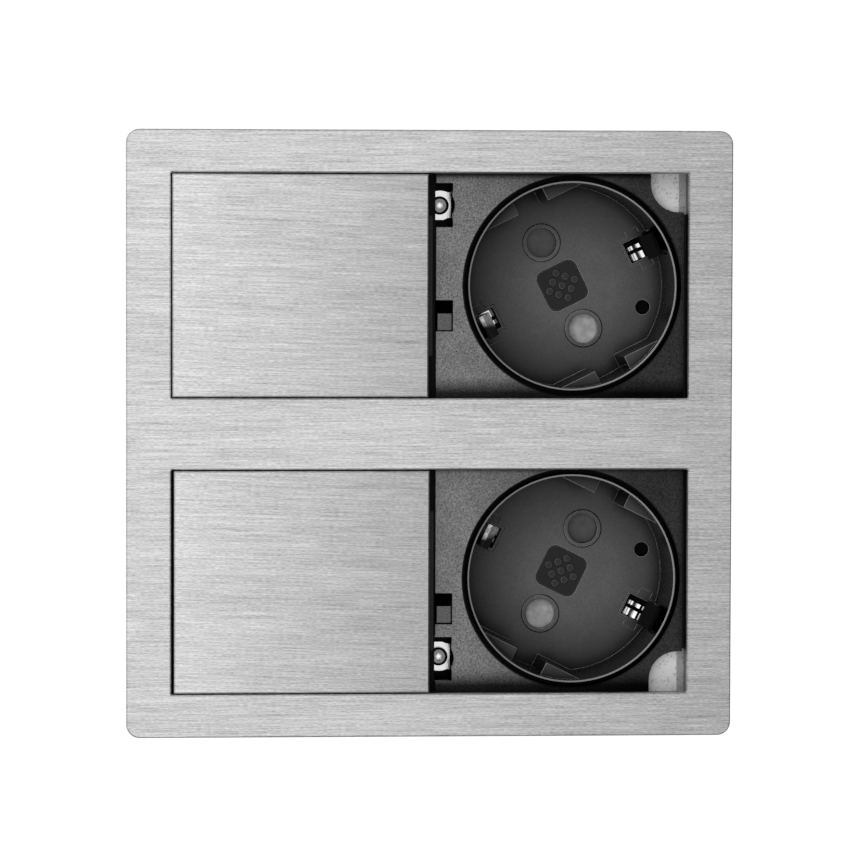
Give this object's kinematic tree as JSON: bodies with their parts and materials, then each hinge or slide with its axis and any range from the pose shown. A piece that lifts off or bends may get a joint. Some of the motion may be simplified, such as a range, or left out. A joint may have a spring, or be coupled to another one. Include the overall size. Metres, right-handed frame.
{
  "type": "flush double socket with sliding covers",
  "caption": "Flush-mounted earthed power socket set under a brushed steel frame, with flat metal covers that slide sideways over round plug wells.",
  "frame": {"origin": "middle of the rear housing's base, on the surface that it stands on", "axes": "+Z out of the face, +X towards the wells (the covers slide that way to close), +Y from the lower unit to the upper"},
  "size_m": [0.117, 0.117, 0.052],
  "materials": {
    "brushed_face": "satin, brushed along X",
    "bright_screw": "bright zinc plated",
    "pressed_tray": "fine speckled, galvanised look",
    "spring_steel": "bright rolled",
    "contact_brass": "plain brass",
    "plated_clip": "bright plated",
    "matt_black": "fine textured",
    "gloss_black": "smooth moulded",
    "dark_slide": "smooth moulded",
    "pale_shutter": "smooth moulded",
    "housing_black": "moulded",
    "grey_block": "moulded",
    "soft_seal": "closed-cell"
  },
  "bodies": {
    "housing": {"face_frame": "brushed_face", "frame_nuts": "bright_screw", "mounting_tray": "pressed_tray", "flange_seal": "soft_seal", "centre_bridge": "pressed_tray", "rear_housing": "housing_black", "housing_screws": "bright_screw", "entry_plate": "housing_black", "cable_gland": "housing_black", "gland_nut": "housing_black", "cord_clamp": "grey_block", "cord_clamp_screws": "bright_screw", "terminal_block": "grey_block", "terminal_block_screws": "bright_screw", "retaining_springs": "spring_steel", "retainer_screws": "bright_screw", "upper_slide_rails": "dark_slide", "upper_blanking_floor": "matt_black", "upper_socket_plate": "matt_black", "upper_socket_well": "gloss_black", "upper_saddle_clamp": "plated_clip", "upper_saddle_screw": "bright_screw", "upper_centre_cap": "matt_black", "upper_centre_screw": "bright_screw", "upper_centre_nut": "bright_screw", "upper_shutter_spring": "spring_steel", "upper_contact_base": "housing_black", "upper_earth_strap": "plated_clip", "upper_terminal_screws": "bright_screw", "upper_line_contact": "contact_brass", "upper_neutral_contact": "contact_brass", "lower_slide_rails": "dark_slide", "lower_blanking_floor": "matt_black", "lower_socket_plate": "matt_black", "lower_socket_well": "gloss_black", "lower_saddle_clamp": "plated_clip", "lower_saddle_screw": "bright_screw", "lower_centre_cap": "matt_black", "lower_centre_screw": "bright_screw", "lower_centre_nut": "bright_screw", "lower_shutter_spring": "spring_steel", "lower_contact_base": "housing_black", "lower_earth_strap": "plated_clip", "lower_terminal_screws": "bright_screw", "lower_line_contact": "contact_brass", "lower_neutral_contact": "contact_brass"},
    "upper_lid": {"upper_lid_plate": "brushed_face", "upper_lid_carrier": "dark_slide"},
    "upper_shutter": {"upper_pin_shutter": "pale_shutter"},
    "lower_lid": {"lower_lid_plate": "brushed_face", "lower_lid_carrier": "dark_slide"},
    "lower_shutter": {"lower_pin_shutter": "pale_shutter"}
  },
  "joints": [
    {"name": "upper_lid_slide", "type": "slide", "parent": "housing", "child": "upper_lid", "axis": [1, 0, 0], "range_m": [0, 0.0498]},
    {"name": "upper_shutter_turn", "type": "hinge", "parent": "housing", "child": "upper_shutter", "pos_m": [0.02825, 0.02855, 0.025], "axis": [0, 0, 1], "range_deg": [-40, 0], "stiffness_Nm_per_rad": 0.0008, "springref_deg": 20.05, "deforming": ["upper_shutter_spring"]},
    {"name": "lower_lid_slide", "type": "slide", "parent": "housing", "child": "lower_lid", "axis": [1, 0, 0], "range_m": [-0.0003, 0.0495]},
    {"name": "lower_shutter_turn", "type": "hinge", "parent": "housing", "child": "lower_shutter", "pos_m": [0.02825, -0.02855, 0.025], "axis": [0, 0, -1], "range_deg": [-40, 0], "stiffness_Nm_per_rad": 0.0008, "springref_deg": 20.05, "deforming": ["lower_shutter_spring"]}
  ]
}
